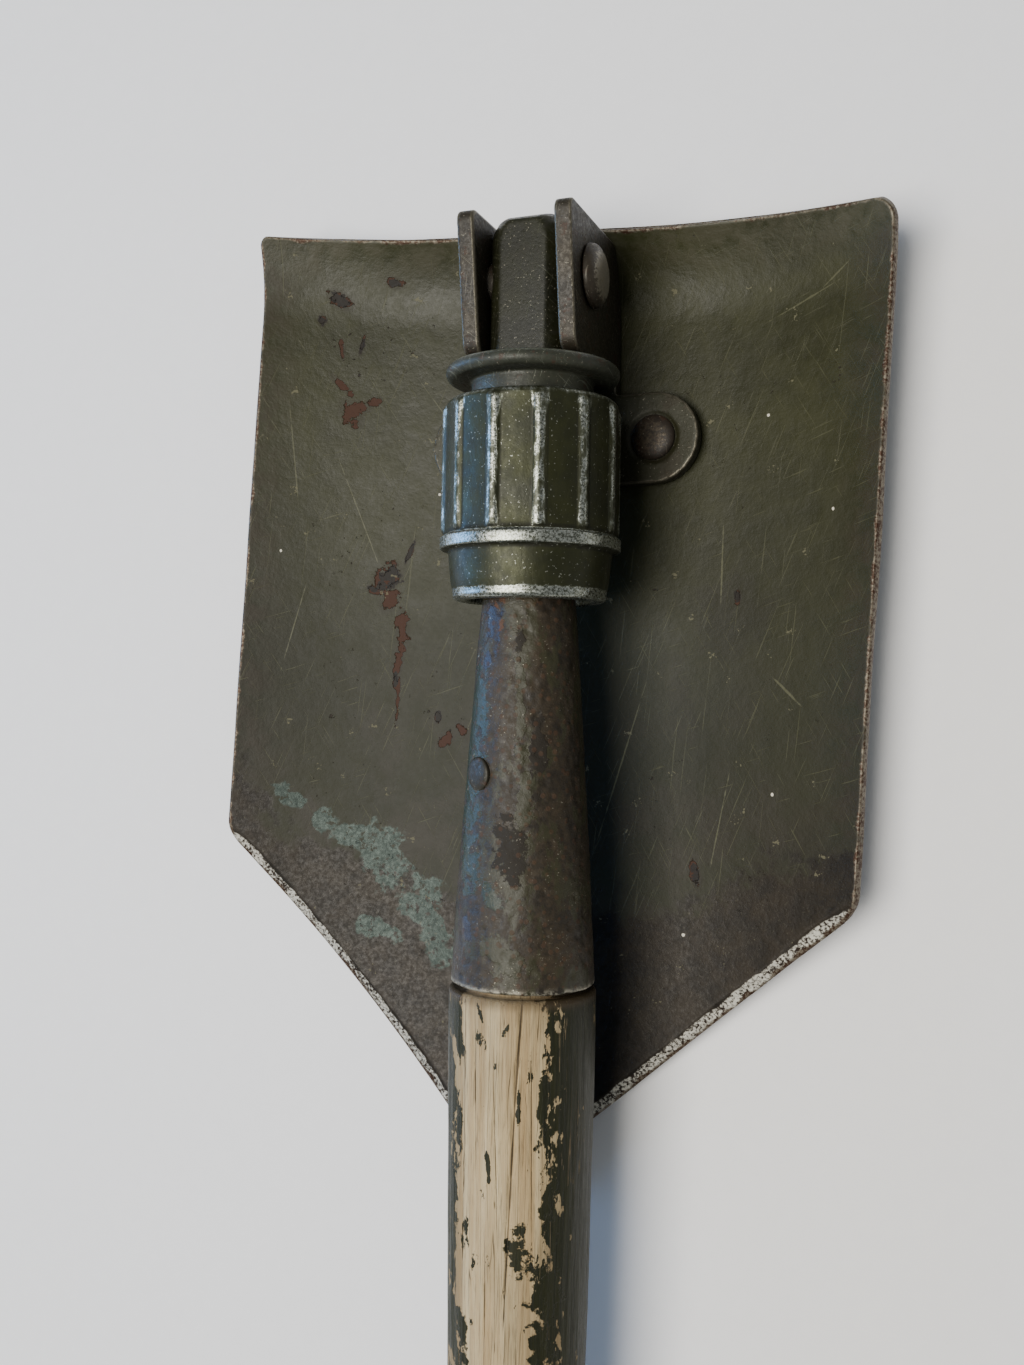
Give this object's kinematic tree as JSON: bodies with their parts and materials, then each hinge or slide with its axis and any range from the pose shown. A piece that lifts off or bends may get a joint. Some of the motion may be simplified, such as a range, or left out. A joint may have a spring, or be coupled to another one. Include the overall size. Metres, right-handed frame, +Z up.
{
  "type": "folding camp shovel",
  "caption": "Folding camp shovel with a five-sided steel blade, a screw locking nut and a wooden handle, shown folded flat.",
  "frame": {"origin": "on the flat of the blade's back, on the shaft's centre line, 60 mm from the hinge pivot towards the handle", "axes": "+X across the blade, +Y along the shaft towards the hinge, +Z up from the blade's back to the shaft"},
  "size_m": [0.1607, 0.5081, 0.0467],
  "materials": {
    "blade_paint": "satin olive paint, chipped to primer and rust, bare ground edges",
    "bracket_steel": "worn dark paint over browned steel",
    "rivet_steel": "browned steel with worn crowns",
    "pivot_steel": "browned steel with a worn crown",
    "neck_paint": "satin olive paint, greasy at the hinge",
    "ring_steel": "dark oiled steel",
    "spring_wire": "bright spring wire",
    "nut_alloy": "olive paint worn to bright metal on ribs and edges",
    "ferrule_steel": "pitted rust and remains of olive paint",
    "handle_wood": "weathered ash with flaking dark green paint"
  },
  "bodies": {
    "shaft": {"neck": "neck_paint", "ferrule": "ferrule_steel", "handle": "handle_wood", "handle_rivet": "rivet_steel"},
    "ring": {"thrust_ring": "ring_steel"},
    "nut": {"locking_nut": "nut_alloy", "retaining_ring": "spring_wire"},
    "blade": {"blade": "blade_paint", "hinge_bracket": "bracket_steel", "blade_rivet_left": "rivet_steel", "blade_rivet_right": "rivet_steel", "blade_rivet_top": "rivet_steel", "pivot_rivet": "pivot_steel"}
  },
  "joints": [
    {"name": "blade_fold", "type": "hinge", "parent": "shaft", "child": "blade", "pos_m": [0, 0.06, 0.0268], "axis": [1, 0, 0], "range_deg": [0, 180]},
    {"name": "ring_travel", "type": "slide", "parent": "shaft", "child": "ring", "axis": [0, 1, 0], "range_m": [-0.001, 0.0012]},
    {"name": "nut_turn", "type": "hinge", "parent": "ring", "child": "nut", "pos_m": [0, 0.04, 0.0268], "axis": [0, 1, 0], "range_deg": [-90, 108]}
  ],
  "couplings": [
    {"joint": "ring_travel", "follows": "nut_turn", "m_per_rad": 0.00063662}
  ]
}
